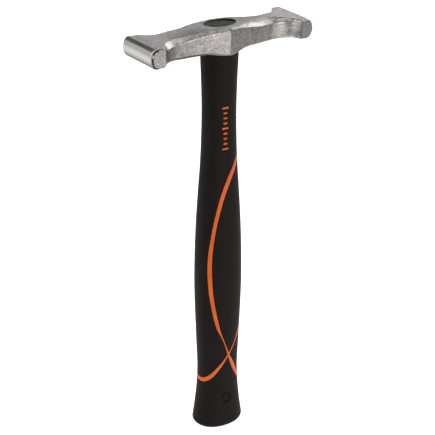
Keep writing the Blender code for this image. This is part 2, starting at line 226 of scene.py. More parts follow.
def noise(points, size, seed):
    """Smooth gradient noise, about -1 to 1, with features of the given size."""
    rng = np.random.default_rng(seed)
    table = rng.permutation(256)
    slopes = rng.normal(size=(256, 3))
    slopes /= np.linalg.norm(slopes, axis=1, keepdims=True)
    at = np.asarray(points) / size + 1000.0
    cell = np.floor(at).astype(int)
    part = at - cell
    fade = part**3 * (part * (part * 6 - 15) + 10)
    total = np.zeros(len(at))
    for corner in itertools.product((0, 1), repeat=3):
        key = np.zeros(len(at), int)
        weight = np.ones(len(at))
        for axis in range(3):
            key = table[(key + cell[:, axis] + corner[axis]) & 255]
            weight *= fade[:, axis] if corner[axis] else 1 - fade[:, axis]
        total += weight * (slopes[key] * (part - corner)).sum(axis=1)
    return total * 1.6


# ---------------------------------------------------------------- mesh helpers
def mesh_from(name, points, faces):
    mesh = bpy.data.meshes.new(name)
    mesh.from_pydata([tuple(p) for p in points], [], [list(f) for f in faces])
    mesh.update()
    return mesh


def grid_mesh(name, grid, closed=False):
    """A closed body over rings of points, in millimetres, with flat caps or joined end to end."""
    rings, count = grid.shape[:2]
    points = grid.reshape(-1, 3) * MM
    j = np.arange(count)[None, :]
    k = (j + 1) % count
    last = rings if closed else rings - 1
    i = np.arange(last)[:, None]
    low, high = i * count, (i + 1) % rings * count
    faces = np.stack([low + j, low + k, high + k, high + j], axis=-1).reshape(-1, 4).tolist()
    if not closed:
        faces.append(list(range(count))[::-1])
        faces.append(list(range((rings - 1) * count, rings * count)))
    mesh = mesh_from(name, points, faces)
    bm = bmesh.new()
    bm.from_mesh(mesh)
    if bm.calc_volume(signed=True) < 0:
        bmesh.ops.reverse_faces(bm, faces=bm.faces)
    bm.to_mesh(mesh)
    bm.free()
    return mesh


def add_object(name, mesh):
    made = bpy.data.objects.new(name, mesh)
    bpy.context.scene.collection.objects.link(made)
    return made


def points_of(mesh):
    points = np.empty(len(mesh.vertices) * 3, np.float32)
    mesh.vertices.foreach_get("co", points)
    return points.reshape(-1, 3).astype(float)


def normals_of(mesh):
    found = np.empty(len(mesh.vertices) * 3, np.float32)
    mesh.vertices.foreach_get("normal", found)
    return found.reshape(-1, 3).astype(float)


def move_points(mesh, points):
    mesh.vertices.foreach_set("co", points.astype(np.float32).ravel())
    mesh.update()


def paint(mesh, name, values):
    """A named value on each point, for the material to read."""
    layer = mesh.attributes.get(name) or mesh.attributes.new(name, "FLOAT", "POINT")
    layer.data.foreach_set("value", np.asarray(values, np.float32))


def cut_or_join(target, tools, operation):
    """Applies Booleans with several meshes to a mesh, one after another, and returns the result."""
    work = add_object("work", target)
    helpers = []
    for tool in tools:
        helper = add_object("helper", tool)
        helpers.append(helper)
        modifier = work.modifiers.new("cut", "BOOLEAN")
        modifier.operation = operation
        modifier.solver = "MANIFOLD"
        modifier.object = helper
    bpy.context.view_layer.update()
    result = bpy.data.meshes.new_from_object(
        work.evaluated_get(bpy.context.evaluated_depsgraph_get())
    )
    for used in [work] + helpers:
        bpy.data.objects.remove(used)
    return result


def separate(mesh):
    """The separate bodies of a mesh, as new meshes."""
    bm = bmesh.new()
    bm.from_mesh(mesh)
    bm.verts.index_update()
    label = np.full(len(bm.verts), -1)
    count = 0
    for start in bm.verts:
        if label[start.index] >= 0:
            continue
        waiting = [start]
        label[start.index] = count
        while waiting:
            for edge in waiting.pop().link_edges:
                for vert in edge.verts:
                    if label[vert.index] < 0:
                        label[vert.index] = count
                        waiting.append(vert)
        count += 1
    bm.free()
    bodies = []
    for wanted in range(count):
        part = bmesh.new()
        part.from_mesh(mesh)
        part.verts.index_update()
        others = [v for v in part.verts if label[v.index] != wanted]
        bmesh.ops.delete(part, geom=others, context="VERTS")
        body = bpy.data.meshes.new(mesh.name)
        part.to_mesh(body)
        part.free()
        bodies.append(body)
    return bodies


def finish_piece(name, mesh, material, node, sharp=None):
    """Makes a finished mesh an object that rides on the frame in place of a CAD node."""
    mesh.name = name
    mesh.materials.clear()
    mesh.materials.append(material)
    mesh.shade_smooth()
    if sharp is not None:
        mesh.set_sharp_from_angle(angle=math.radians(sharp))
    piece = add_object(name, mesh)
    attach(piece, "root")
    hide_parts(node)


# ---------------------------------------------------------------- materials
class Nodes:
    """A short way to write a material's nodes."""

    def __init__(self, name):
        self.material = bpy.data.materials.new(name)
        self.material.use_nodes = True
        self.tree = self.material.node_tree
        self.shader = self.tree.nodes["Principled BSDF"]

    def add(self, kind, sockets=None, **settings):
        node = self.tree.nodes.new(kind)
        for key, value in settings.items():
            setattr(node, key, value)
        for key, value in (sockets or {}).items():
            self.set(node.inputs[key], value)
        return node

    def set(self, socket, value):
        if isinstance(value, bpy.types.NodeSocket):
            self.tree.links.new(value, socket)
        else:
            socket.default_value = value

    def place(self):
        return self.add("ShaderNodeTexCoord").outputs["Object"]

    def noise(self, scale, detail=3.0, roughness=0.55, distortion=0.0):
        sockets = {"Vector": self.place(), "Scale": scale, "Detail": detail}
        sockets |= {"Roughness": roughness, "Distortion": distortion}
        return self.add("ShaderNodeTexNoise", sockets).outputs["Fac"]

    def spots(self, scale):
        sockets = {"Vector": self.place(), "Scale": scale}
        return self.add("ShaderNodeTexVoronoi", sockets).outputs["Distance"]

    def attribute(self, name):
        return self.add("ShaderNodeAttribute", attribute_name=name).outputs["Fac"]

    def ramp(self, value, low, high, to_low=0.0, to_high=1.0):
        sockets = {0: value, 1: low, 2: high, 3: to_low, 4: to_high}
        return self.add("ShaderNodeMapRange", sockets).outputs[0]

    def math(self, operation, *values):
        sockets = dict(enumerate(values))
        return self.add("ShaderNodeMath", sockets, operation=operation).outputs[0]

    def mix(self, factor, low, high):
        node = self.add("ShaderNodeMix", data_type="FLOAT")
        for key, value in ((0, factor), (2, low), (3, high)):
            self.set(node.inputs[key], value)
        return node.outputs[0]

    def mix_colour(self, factor, low, high):
        node = self.add("ShaderNodeMix", data_type="RGBA")
        for key, value in ((0, factor), (6, low), (7, high)):
            self.set(node.inputs[key], value)
        return node.outputs[2]

    def bump(self, height, strength, distance):
        sockets = {"Height": height, "Strength": strength, "Distance": distance}
        return self.add("ShaderNodeBump", sockets).outputs["Normal"]

    def done(self, **sockets):
        for key, value in sockets.items():
            self.set(self.shader.inputs[key.replace("_", " ")], value)
        return self.material


def steel_material():
    n = Nodes("forged_steel")
    polished, worn, ground = n.attribute("polished"), n.attribute("worn"), n.attribute("ground")
    mottle = n.noise(980, 3, 0.65)
    blotch = n.noise(110, 2, 0.5)
    patches = n.noise(330, 2, 0.5, 0.6)
    grain = n.noise(2200, 2, 0.6)
    shade = n.math("ADD", n.math("MULTIPLY", mottle, 0.6), n.math("MULTIPLY", grain, 0.24))
    shade = n.math("ADD", shade, n.math("MULTIPLY", patches, 0.16))
    shade = n.ramp(shade, 0.37, 0.61)
    rough_colour = n.mix_colour(shade, (0.14, 0.133, 0.129, 1), (0.46, 0.437, 0.425, 1))
    rough_colour = n.mix_colour(
        n.ramp(blotch, 0.35, 0.65, 0.0, 0.3), rough_colour, (0.29, 0.276, 0.268, 1)
    )
    cut_colour = n.mix_colour(
        n.ramp(mottle, 0.35, 0.65), (0.30, 0.285, 0.276, 1), (0.50, 0.475, 0.46, 1)
    )
    clean = n.mix_colour(
        n.ramp(mottle, 0.3, 0.7), (0.60, 0.588, 0.578, 1), (0.70, 0.688, 0.678, 1)
    )
    rubbed = n.math("MULTIPLY", worn, n.ramp(mottle, 0.35, 0.6, 0.5, 1))
    bright = n.math("MAXIMUM", polished, rubbed)
    colour = n.mix_colour(bright, n.mix_colour(ground, rough_colour, cut_colour), clean)
    # the tone holds the forging's uneven scale and wear as well as painted light and shade
    toned = n.add("ShaderNodeVectorMath", {0: colour, 3: n.attribute("tone")}, operation="SCALE")
    roughness = n.mix(ground, n.ramp(shade, 0, 1, 0.52, 0.4), 0.36)
    roughness = n.mix(bright, roughness, n.ramp(grain, 0.3, 0.7, 0.34, 0.4))
    pits = n.ramp(n.spots(900), 0.0, 0.55)
    height = n.math("ADD", pits, n.math("MULTIPLY", mottle, 1.4))
    depth = n.mix(bright, n.mix(ground, 1.0, 0.5), 0.06)
    normal = n.bump(n.math("MULTIPLY", height, depth), 0.55, 0.12 * MM)
    return n.done(
        Base_Color=toned.outputs[0], Metallic=1.0, Roughness=roughness, Normal=normal
    )


def grip_material():
    n = Nodes("soft_grip")
    fine = n.noise(3200, 2, 0.6)
    cloud = n.noise(90, 2, 0.5)
    colour = n.mix_colour(
        n.ramp(cloud, 0.3, 0.7), (0.0084, 0.0061, 0.0056, 1), (0.0112, 0.0083, 0.0077, 1)
    )
    broad = n.ramp(cloud, 0.3, 0.7, 0.5, 0.58)
    roughness = n.math("ADD", broad, n.ramp(fine, 0.3, 0.7, -0.04, 0.04))
    normal = n.bump(fine, 0.35, 0.06 * MM)
    return n.done(
        Base_Color=colour, Roughness=roughness, Normal=normal, Specular_IOR_Level=0.075
    )


def orange_material():
    n = Nodes("orange_plastic")
    cloud = n.noise(150, 2, 0.5)
    fine = n.noise(2600, 2, 0.5)
    colour = n.mix_colour(
        n.ramp(cloud, 0.3, 0.7), (0.58, 0.100, 0.009, 1), (0.66, 0.122, 0.013, 1)
    )
    roughness = n.ramp(fine, 0.3, 0.7, 0.38, 0.5)
    normal = n.bump(fine, 0.2, 0.05 * MM)
    return n.done(
        Base_Color=colour, Roughness=roughness, Normal=normal, Specular_IOR_Level=0.3
    )


def resin_material():
    n = Nodes("cast_resin")
    cloud = n.noise(420, 3, 0.6)
    colour = n.mix_colour(
        n.ramp(cloud, 0.3, 0.7), (0.006, 0.0064, 0.0062, 1), (0.014, 0.015, 0.0143, 1)
    )
    roughness = n.ramp(cloud, 0.3, 0.7, 0.45, 0.6)
    normal = n.bump(cloud, 0.4, 0.2 * MM)
    return n.done(
        Base_Color=colour, Roughness=roughness, Normal=normal, Specular_IOR_Level=0.25
    )


def core_material():
    n = Nodes("fibreglass")
    strands = n.spots(2400)
    cloud = n.noise(500, 3, 0.6)
    colour = n.mix_colour(
        n.ramp(strands, 0.1, 0.7), (0.036, 0.039, 0.036, 1), (0.014, 0.015, 0.014, 1)
    )
    roughness = n.ramp(cloud, 0.3, 0.7, 0.5, 0.7)
    normal = n.bump(strands, 0.4, 0.08 * MM)
    return n.done(
        Base_Color=colour, Roughness=roughness, Normal=normal, Specular_IOR_Level=0.25
    )


# ---------------------------------------------------------------- head
def arm_half_width(arm, distance):
    """Half the head's width across Y: a straight taper to the waist, then a flare to the peen."""
    taper = CHEEK_HALF + (arm.waist_half - CHEEK_HALF) * distance / arm.waist_at
    reach = np.clip((distance - arm.waist_at) / (arm.flare_end - arm.waist_at), 0, 1)
    flare = arm.waist_half + (PEEN_HALF_WIDTH / MM - arm.waist_half) * reach**arm.flare_power
    return np.where(distance < arm.waist_at, taper, flare)


def seat_drop(x):
    """How far the head's underside lies below its top face, between the arms' waists."""
    return ease(np.abs(x), 0, ARM_STARTS, SEAT_DROP, ARM_UNDERSIDE_DROP)


def arm_drop(arm, distance):
    """How far an arm's underside lies below the head's top face."""
    seat = seat_drop(distance)
    starts = arm.waist_at + PEEN_DROP_STARTS
    return seat + ease(distance, starts, arm.flare_end, 0, 1) * (
        arm.centre_drop + PEEN_HALF_HEIGHT - seat
    )


def arm_sections(arm, side):
    """Sections from the eye outwards, as (x, half-width, top, bottom, far bevel's width and drop,
    near bevel's width and drop, low bevel's width and rise, crown, stretch of the far half)."""
    run = arm.flare_end - arm.waist_at
    distances = np.concatenate([
        np.linspace(0, 1.2, 5)[1:-1], np.linspace(1.2, arm.waist_at, 92)[:-1],
        arm.waist_at + run * np.sin(np.linspace(0, math.pi / 2, 44)),
        np.linspace(arm.flare_end, PEEN_RIDGE_AT, 11)[1:],
    ])
    far, near = along(arm.far, distances), along(arm.near, distances)
    low = along(arm.low, distances)
    columns = (
        side * distances, arm_half_width(arm, distances),
        -ease(distances, EYE_FLAT, arm.flare_end, 0, arm.centre_drop - PEEN_HALF_HEIGHT),
        -arm_drop(arm, distances), far, far * FAR_SLOPE, near, near * arm.slope, low, low,
        along(arm.crown, distances), np.ones(len(distances)),
    )
    sections = list(zip(*columns))
    power = 2 / arm.squareness
    end, half_width = HEAD_HALF / MM, PEEN_HALF_WIDTH / MM
    full = end - PEEN_RIDGE_AT
    for i in range(1, FACE_STEPS + 1):
        angle = math.pi / 2 * (1 - i / FACE_STEPS)
        reach = full * math.cos(angle) ** power
        tall = max(0.02, PEEN_HALF_HEIGHT * math.sin(angle) ** power)
        x = PEEN_RIDGE_AT + reach
        chamfers = []
        for rim in (arm.far_rim, arm.rim):
            inner = max(0.0, 1 - min(1, reach / (full - rim)) ** arm.squareness)
            side_tall = max(0.012, (PEEN_HALF_HEIGHT - rim) * inner ** (1 / arm.squareness))
            w = half_width - max(0.0, x - (end - rim))
            chamfers.append((w, max(0.01, w - (half_width - rim)), tall - side_tall))
        (far_w, far, far_fall), (w, near, near_fall) = chamfers
        sections.append((
            side * x, w, tall - arm.centre_drop, -tall - arm.centre_drop,
            far, far_fall, near, near_fall, near, near_fall, arm.crown[-1][1], far_w / w,
        ))
    return sections


def head_ring(section):
    """One ring of points round a section, with rounded edges and a crowned top."""
    x, w, top, bottom, far, far_drop, near, near_drop, low, rise, crown, far_stretch = section
    corners = np.array([
        (w - far, top), (w, top - far_drop), (w, bottom + rise), (w - low, bottom),
        (low - w, bottom), (-w, bottom + rise), (-w, top - near_drop), (near - w, top),
    ])
    ring = []
    for i in range(8):
        here, ahead, behind = corners[i], corners[(i + 1) % 8], corners[i - 1]
        out_len, in_len = np.linalg.norm(ahead - here), np.linalg.norm(here - behind)
        size, size_next = EDGE_ROUND[i], EDGE_ROUND[(i + 1) % 8]
        start = here + (behind - here) * min(0.4, size / max(in_len, 1e-6))
        finish = here + (ahead - here) * min(0.4, size / max(out_len, 1e-6))
        t = np.linspace(0, 1, 5)[:, None]
        ring.append((1 - t) ** 2 * start + 2 * t * (1 - t) * here + t**2 * finish)
        stop = ahead + (here - ahead) * min(0.4, size_next / max(out_len, 1e-6))
        s = np.linspace(0, 1, EDGE_COUNTS[i] + 2)[1:-1, None]
        ring.append(finish * (1 - s) + stop * s)
    ring = np.concatenate(ring)
    across = np.clip(np.abs(ring[:, 0]) / np.where(ring[:, 0] > 0, w - far, w - near), 0, 1)
    height = np.clip((ring[:, 1] - bottom - rise) / (top - bottom - rise), 0, 1)
    ring[:, 1] -= np.where(ring[:, 1] > top - 0.02, crown * across**2, crown * height)
    ring[:, 0] *= np.where(ring[:, 0] > 0, far_stretch, 1)
    return np.column_stack([np.full(len(ring), x), ring])


def head_mesh():
    """The smooth head, before its eye is cut."""
    left, right = arm_sections(LEFT, -1), arm_sections(RIGHT, 1)
    grid = np.array([head_ring(s) for s in left[::-1] + [MIDDLE_SECTION] + right])
    grid[:, :, 2] += TOP
    return grid_mesh("head", grid)


def past_near_edge(points):
    """How far out each place lies past the near edge of the right arm's top face."""
    distance = np.abs(points[:, 0])
    return -points[:, 1] - arm_half_width(RIGHT, distance) + along(RIGHT.near, distance)


def head_tone(points, normals, face, rim):
    """How light the steel is at each place: scale and wear left the forging uneven, and painted
    light and shade are laid over that.
    """
    x, y, distance = points[:, 0], points[:, 1], np.abs(points[:, 0])
    drop = TOP - points[:, 2]
    edge = past_near_edge(points)
    up = ease(normals[:, 2], 0.84, 0.94, 0, 1)
    near = ease(-normals[:, 1], 0.3, 0.6, 0, 1)
    bevel = ease(normals[:, 2], 0.3, 0.45, 0, 1) * (1 - up) * ease(-y, 0, 3, 0, 1)
    # painted light and shade: each side and the top follow their shading curves
    side = np.where(x < 0, along(LEFT_SIDE_SHADING, distance), along(RIGHT_SIDE_SHADING, distance))
    top = np.where(x < 0, along(LEFT_TOP_SHADING, distance), along(RIGHT_TOP_SHADING, distance))
    tone = side * (1 - up) + top * up
    broad, fine = noise(points * (0.7, 1, 1), 5.5, 31), noise(points * (0.6, 1, 1), 1.5, 32)
    tone *= 1 + (broad * 0.07 + fine * 0.13)
    speckle = ease(noise(points, 1.3, 34), 0.4, 0.75, 0, 1)
    tone *= 1 - np.where(x < 0, 0.5, 0.3) * speckle
    # the near right flare is streaked, with a painted highlight near its cap and painted shade
    # darkest low down beside its cap
    streak = noise(points * (0.6, 0.6, 1.4) + (0, 0, 3), 3.4, 33)
    rubbed = noise(points * (0.4, 1, 1), 1.5, 35)
    flare = band(x, 43, 50, 54.8, 55.6) * near
    # painted highlight high on the flare, and painted shade low beside the cap
    light = 0.4 * np.exp(-(((x - 52.8) / 1.1) ** 2)) * ease(drop, 9, 12, 1, 0)
    painted_flare_shade = 0.25 * np.exp(-((x - 50.2) ** 2))
    painted_flare_shade += 0.5 * ease(x, 51, 54, 0, 1) * ease(drop, 8.5, 11.5, 0, 1)
    tone *= 1 + flare * (0.4 * streak + light - painted_flare_shade)
    # painted shade darkens the top edge of that flare in mottled streaks, and the cap's own top
    # edge is made lighter
    painted_edge_shade = np.maximum(bevel, up * ease(edge, -2.6, -1.0, 0, 1))
    painted_edge_shade *= band(x, 35, 43, 55, 56.2)
    tone *= 1 - painted_edge_shade * np.clip(0.5 - 0.4 * rubbed - 0.2 * streak, 0, 0.7)
    tone *= 1 + bevel * ease(x, 55.6, 56.6, 0, 1)
    # painted shade: the downward-facing lower edge of the left arm is darkened
    tone *= 1 - 0.5 * ease(-normals[:, 2], 0.3, 0.5, 0, 1) * ease(-x, 15, 25, 0, 1)
    # handling has polished the near bevel most at the left waist, and along the right arm
    left_polish = (0.3 + 0.6 * rubbed) * band(-x, 32, 42, 49, 53)
    right_polish = (0.34 + 0.3 * rubbed) * band(x, 6, 18, 30, 37) * ease(edge, 0.0, 1.1, 0, 1)
    tone *= 1 + bevel * (left_polish + right_polish)
    # painted shade: each striking face is darkened at its upper edge and in its lower part
    painted_face_shade = ease(drop, 10.5, 16, 1, 0.15) * ease(drop, 3.7, 4.4, 0.45, 1)
    tone = np.where(face > 0.5, painted_face_shade, tone)
    # painted shade on the chamfer at the left face's near end, with one painted highlight on it
    rim_shade_and_highlight = 0.1 + 1.5 * np.exp(-(((drop - 8.4) / 0.8) ** 2))
    return tone * (1 - rim) + rim_shade_and_highlight * rim


def dress_head(mesh):
    """Forged waviness and pitting moved into the surface, and the ground and worn places marked."""
    points, normals = points_of(mesh) / MM, normals_of(mesh)
    x, y = points[:, 0], points[:, 1]
    distance = np.abs(x)
    # the ground striking faces, and the chamfer at the near end of the left one
    face = ease(distance, 59.6, 60.1, 0, 1) * ease(np.abs(normals[:, 1]), 0.3, 0.55, 1, 0)
    rim = ease(-x, 55.5, 57, 0, 1) * ease(-y, 17.2, 17.6, 0, 1)
    rim *= band(-normals[:, 1], 0.3, 0.5, 0.9, 0.97)
    # worn places: the bevels on the +X side, and the tops of both waists
    patchy = noise(points, 5.0, 11) * 0.5 + noise(points, 1.7, 12) * 0.5
    is_bevel = band(normals[:, 2], 0.35, 0.5, 0.85, 0.93)
    lower = np.where(y < 0, ease(past_near_edge(points), 0.0, 1.1, 0.3, 1), 1)
    right = band(x, 0.5, 2.5, 30, 39) * lower * ease(patchy, -0.45, 0.05, 0.3, 1)
    waists = band(distance, 28, 40, 49, 53) * ease(y, 0, -3, 0.4, 1)
    worn = is_bevel * np.maximum(right, waists)
    # the inside of the near right flare, ground after forging, from a clear edge at the waist
    waist = RIGHT.waist_at
    ground = band(x, waist - 0.25, waist + 0.25, 54.6, 55.6) * ease(-normals[:, 1], 0.35, 0.6, 0, 1)
    smooth = np.maximum(np.maximum(face, worn * 0.75), ground * 0.6)
    waves, ripples, pits, fine_pits = (
        noise(points, size, seed) * deep for size, deep, seed in (WAVES, RIPPLES, PITS, FINE_PITS)
    )
    wavy = waves + ripples * (1 - 0.7 * worn)
    pitted = (pits + fine_pits) * (1 - 0.8 * worn)
    depth = wavy * (1 - face) + pitted * (1 - smooth)
    depth = np.minimum(depth, FORGING_INSET) - FORGING_INSET
    depth = depth * (1 - face) - FACE_INSET * face
    inward = np.where(np.abs(normals[:, 0]) > 0.97, 0.3, 1)
    points = points + normals * (depth * inward)[:, None]
    points[:, 0] = np.clip(points[:, 0], -HEAD_HALF / MM, HEAD_HALF / MM)
    move_points(mesh, points * MM)
    paint(mesh, "polished", np.maximum(face, rim))
    # tone: uneven scale and wear, with painted light and shade
    paint(mesh, "tone", head_tone(points, normals, face, rim))
    paint(mesh, "worn", worn)
    paint(mesh, "ground", ground)


def oval(size, z):
    angles = np.arange(OVAL_SIDES) * 2 * math.pi / OVAL_SIDES
    return np.column_stack([
        np.cos(angles) * size[0] / 2, np.sin(angles) * size[1] / 2, np.full(OVAL_SIDES, z),
    ])


def eye_size(z, clearance):
    """The eye's length and width at a height below the head's top face."""
    middle = SEAT_DROP / 2
    t = min(1.0, abs(-z - middle) / middle)
    return [a + (b - a) * t - 2 * clearance for a, b in zip(EYE_THROAT, EYE_MOUTH)]


def eye_cutter():
    """The hourglass eye, with a rounded lip at its mouth."""
    rings = [oval(eye_size(z, 0), z) for z in np.linspace(-22.5, -0.7, 24)]
    mouth = eye_size(0, 0)
    rings += [oval([m + out for m in mouth], z) for z, out in EYE_LIP]
    grid = np.array(rings)
    grid[:, :, 2] += TOP
    return grid_mesh("eye_cutter", grid)


def build_head(steel):
    """The forging, with its eye cut through after its surface is dressed."""
    mesh = head_mesh()
    dress_head(mesh)
    mesh = cut_or_join(mesh, [eye_cutter()], "DIFFERENCE")
    finish_piece("head_forging", mesh, steel, "hammer_head", sharp=50)


# ---------------------------------------------------------------- grip surface
def grip_half_width(z):
    """Half the grip's width along X at a height, rounded in at the butt."""
    z = np.asarray(z, float)
    width = along(GRIP_STATIONS, z) / 2
    below = np.clip(BUTT_ROUND - z, 0, BUTT_ROUND)
    return width - BUTT_ROUND + np.sqrt(BUTT_ROUND**2 - below**2)


def grip_points(degrees, z, inset=0.0):
    """Points of the grip's surface, or a layer under it, at angles from +X and heights."""
    degrees, z = np.broadcast_arrays(np.asarray(degrees, float), np.asarray(z, float))
    half = grip_half_width(z)
    c, s = np.cos(np.radians(degrees)), np.sin(np.radians(degrees))
    scale = (np.abs(c) ** GRIP_SQUARENESS + np.abs(s) ** GRIP_SQUARENESS) ** (-1 / GRIP_SQUARENESS)
    x = (half - inset) * c * scale
    y = (half * GRIP_FLATNESS - inset) * s * scale
    return np.stack([x, y, np.broadcast_to(z, x.shape)], axis=-1)


def seat_to_head(ring, gap=FIT_GAP):
    """Moves a ring's points to the head's underside, less a gap."""
    ring[:, 2] = TOP - seat_drop(ring[:, 0]) - gap
    return ring


def skin_mesh():
    """The whole soft grip as one cup, before the ribs divide it."""
    around = np.arange(SKIN_SIDES) * 360 / SKIN_SIDES
    rim = [BUTT_ROUND * (1 - math.cos(math.radians(a))) for a in np.linspace(0, 90, 12)]
    side = np.linspace(BUTT_ROUND, NECK_STARTS, 350)[1:]
    outer = [grip_points(around, z) for z in rim + list(side)]
    neck, top = outer[-1], seat_to_head(grip_points(around, NECK_ENDS))
    outer += [neck * (1 - t) + top * t for t in (0.25, 0.5, 0.75)]
    # a small round at the top edge, under the head
    shoulder = top.copy()
    shoulder[:, 2] -= 0.5
    inner_top = seat_to_head(grip_points(around, NECK_ENDS, 0.5))
    outer += [shoulder, inner_top, seat_to_head(grip_points(around, NECK_ENDS, SKIN))]
    inside = np.linspace(NECK_STARTS, BUTT_ROUND + 0.5, 40)
    outer += [grip_points(around, z, SKIN) for z in inside]
    outer.append(grip_points(around, BUTT_ROUND, SKIN))
    return grid_mesh("skin", np.array(outer))


def between(p0, p1, p2, p3, f):
    """A smooth curve from p1 to p2, past a share f of the way."""
    return 0.5 * (
        2 * p1 + (p2 - p0) * f + (2 * p0 - 5 * p1 + 4 * p2 - p3) * f * f
        + (3 * p1 - p0 - 3 * p2 + p3) * f**3
    )


def rib_stations(half):
    """Closely spaced stations round a rib, as (degrees, height, width)."""
    points = np.array([(-d, z, w) for d, z, w in half], float)
    before = points[1] * (-1, 1, 1)
    after = points[-2] * (-1, 1, 1)
    if points[-1, 0] == -180:
        after = np.array([-360 - points[-2, 0], points[-2, 1], points[-2, 2]])
    chain = np.vstack([before, points, after])
    samples = []
    for i in range(1, len(chain) - 2):
        span = grip_points(*chain[i + 1, :2]) - grip_points(*chain[i, :2])
        steps = max(1, round(float(np.linalg.norm(span)) / STATION_STEP))
        samples += [between(*chain[i - 1:i + 3], k / steps) for k in range(steps)]
    samples.append(points[-1])
    samples = np.array(samples)
    return np.vstack([samples, samples[1:-1][::-1] * (-1, 1, 1)])


def surface_frame(degrees, z):
    """The grip surface's two tangents, per degree round and per millimetre up."""
    around = grip_points(degrees + 0.5, z) - grip_points(degrees - 0.5, z)
    upward = grip_points(degrees, z + 0.5) - grip_points(degrees, z - 0.5)
    return around, upward


def degrees_per_mm(degrees, height):
    """How far round the grip one millimetre reaches there."""
    around, _ = surface_frame(float(degrees), float(height))
    return 1 / np.linalg.norm(around)


def ribbon(name, stations, profile):
    """A ribbon over the grip. profile lists (share of half-width, added width, inset)."""
    degrees, heights, widths = stations.T
    ahead, behind = np.roll(stations, -1, axis=0), np.roll(stations, 1, axis=0)
    path = grip_points(ahead[:, 0], ahead[:, 1]) - grip_points(behind[:, 0], behind[:, 1])
    around, upward = surface_frame(degrees, heights)
    across = np.cross(np.cross(around, upward), path)
    across /= np.linalg.norm(across, axis=1, keepdims=True)
    turn = (across * around).sum(axis=1) / (around**2).sum(axis=1)
    lift = (across * upward).sum(axis=1) / (upward**2).sum(axis=1)
    rings = []
    for share, added, inset in profile:
        reach = share * (widths / 2) + added
        rings.append(grip_points(degrees + turn * reach, heights + lift * reach, inset))
    return grid_mesh(name, np.stack(rings, axis=1), closed=True)


def slot_profile(deep, gap):
    """A slot's cross-section, which opens out at the grip's surface to round the panel's edge."""
    half = [(gap, deep), (gap, 0.7), (gap + 0.05, 0.4), (gap + 0.18, 0.18), (gap + 0.42, 0.0),
            (gap + 1.1, -0.5)]
    left = [(-1, -g, d) for g, d in half]
    right = [(1, g, d) for g, d in half]
    return [(0, 0, deep)] + right + left[::-1]


def rib_profile(deep, proud):
    crown = [(1, 0, deep), (1, 0, 0.35), (0.93, 0, 0.13), (0.75, 0, 0.02), (0.4, 0, -proud * 0.8)]
    left = [(-a, b, c) for a, b, c in crown]
    return [(0, 0, deep)] + crown + [(0, 0, -proud)] + left[::-1]


def block_outline(half_wide, half_tall, corner, steps=4):
    """A rounded rectangle's points, in millimetres."""
    outline = []
    for sx, sy, start in ((1, 1, 0), (-1, 1, 90), (-1, -1, 180), (1, -1, 270)):
        for i in range(steps + 1):
            a = math.radians(start + 90 * i / steps)
            outline.append((sx * (half_wide - corner) + corner * math.cos(a),
                            sy * (half_tall - corner) + corner * math.sin(a)))
    return np.array(outline)


def block_on_grip(name, degrees, height, half_wide, half_tall, layers, corner=0.5):
    """A block that follows the grip. layers lists (added size, inset)."""
    per_mm = degrees_per_mm(degrees, height)
    rings = []
    for added, inset in layers:
        rounding = corner + max(added, -corner + 0.1)
        outline = block_outline(half_wide + added, half_tall + added, rounding)
        rings.append(grip_points(degrees + outline[:, 0] * per_mm, height + outline[:, 1], inset))
    return grid_mesh(name, np.array(rings))


def ring_stations(degrees, height, radius, width, count=72):
    """Stations round a circle that lies on the grip."""
    per_mm = degrees_per_mm(degrees, height)
    a = np.arange(count) * 2 * math.pi / count
    return np.column_stack([
        degrees + np.cos(a) * radius * per_mm, height + np.sin(a) * radius, np.full(count, width),
    ])


def bars():
    """Each short orange bar's height and half-width, from the top one down."""
    for index in range(BAR_COUNT):
        yield BAR_TOP - BAR_PITCH * index, BAR_WIDTHS[index % len(BAR_WIDTHS)] / 2


GRIP_NODES = {
    "grip_main": "grip_main_skin", "grip_front_panel": "grip_front_skin",
    "grip_lens_panel": "grip_lens_skin", "grip_butt": "grip_butt_skin",
}


def nearest_node(mesh):
    """The CAD grip node whose box is most like this body's."""
    points = points_of(mesh)
    low, high = points.min(axis=0), points.max(axis=0)

    def difference(node):
        a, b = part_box(node)
        return float(np.abs(low - np.array(a)).sum() + np.abs(high - np.array(b)).sum())

    return min(GRIP_NODES, key=difference)


def build_skin(rubber):
    """The soft grip's four panels, parted by the ribs' slots and pierced by the bars' windows."""
    cutters = []
    for index, half in enumerate((LEAF_RIB, RING_RIB)):
        profile = slot_profile(SLOT_DEPTH + RIB_DEEPER * index, SLOT_CLEARANCE)
        cutters.append(ribbon("slot", rib_stations(half), profile))
    for z, half_wide in bars():
        layers = ((0.1, SLOT_DEPTH), (0.1, 0.5), (0.16, 0.25), (0.32, 0.0), (0.8, -0.5))
        cutters.append(block_on_grip("window", -BAR_MIDDLE, z, half_wide, BAR_LENGTH / 2, layers))
    groove = [(0, 0, 0.8), (1, 0, 0.65), (1.15, 0, 0.1), (1.6, 0, -0.4), (-1.6, 0, -0.4),
              (-1.15, 0, 0.1), (-1, 0, 0.65)]
    cutters.append(ribbon("ring_mark", ring_stations(*RING_MARK), groove))
    mesh = cut_or_join(skin_mesh(), cutters, "DIFFERENCE")
    for body in separate(mesh):
        node = nearest_node(body)
        finish_piece(GRIP_NODES[node], body, rubber, node, sharp=40)


def sleeve_mesh():
    """The plain sleeve between the grip and the core, closed at the butt."""
    around = np.arange(OVAL_SIDES) * 360 / OVAL_SIDES
    inset = SKIN + FIT_GAP
    rings = [grip_points(around, 5.0, inset + 0.4)]
    rings += [grip_points(around, z, inset) for z in np.linspace(5.6, NECK_STARTS, 90)]
    rings.append(seat_to_head(grip_points(around, NECK_ENDS, inset)))
    rings.append(seat_to_head(oval(CORE_BORE, 0)))
    rings.append(oval(CORE_BORE, 8.7))
    return grid_mesh("sleeve", np.array(rings))


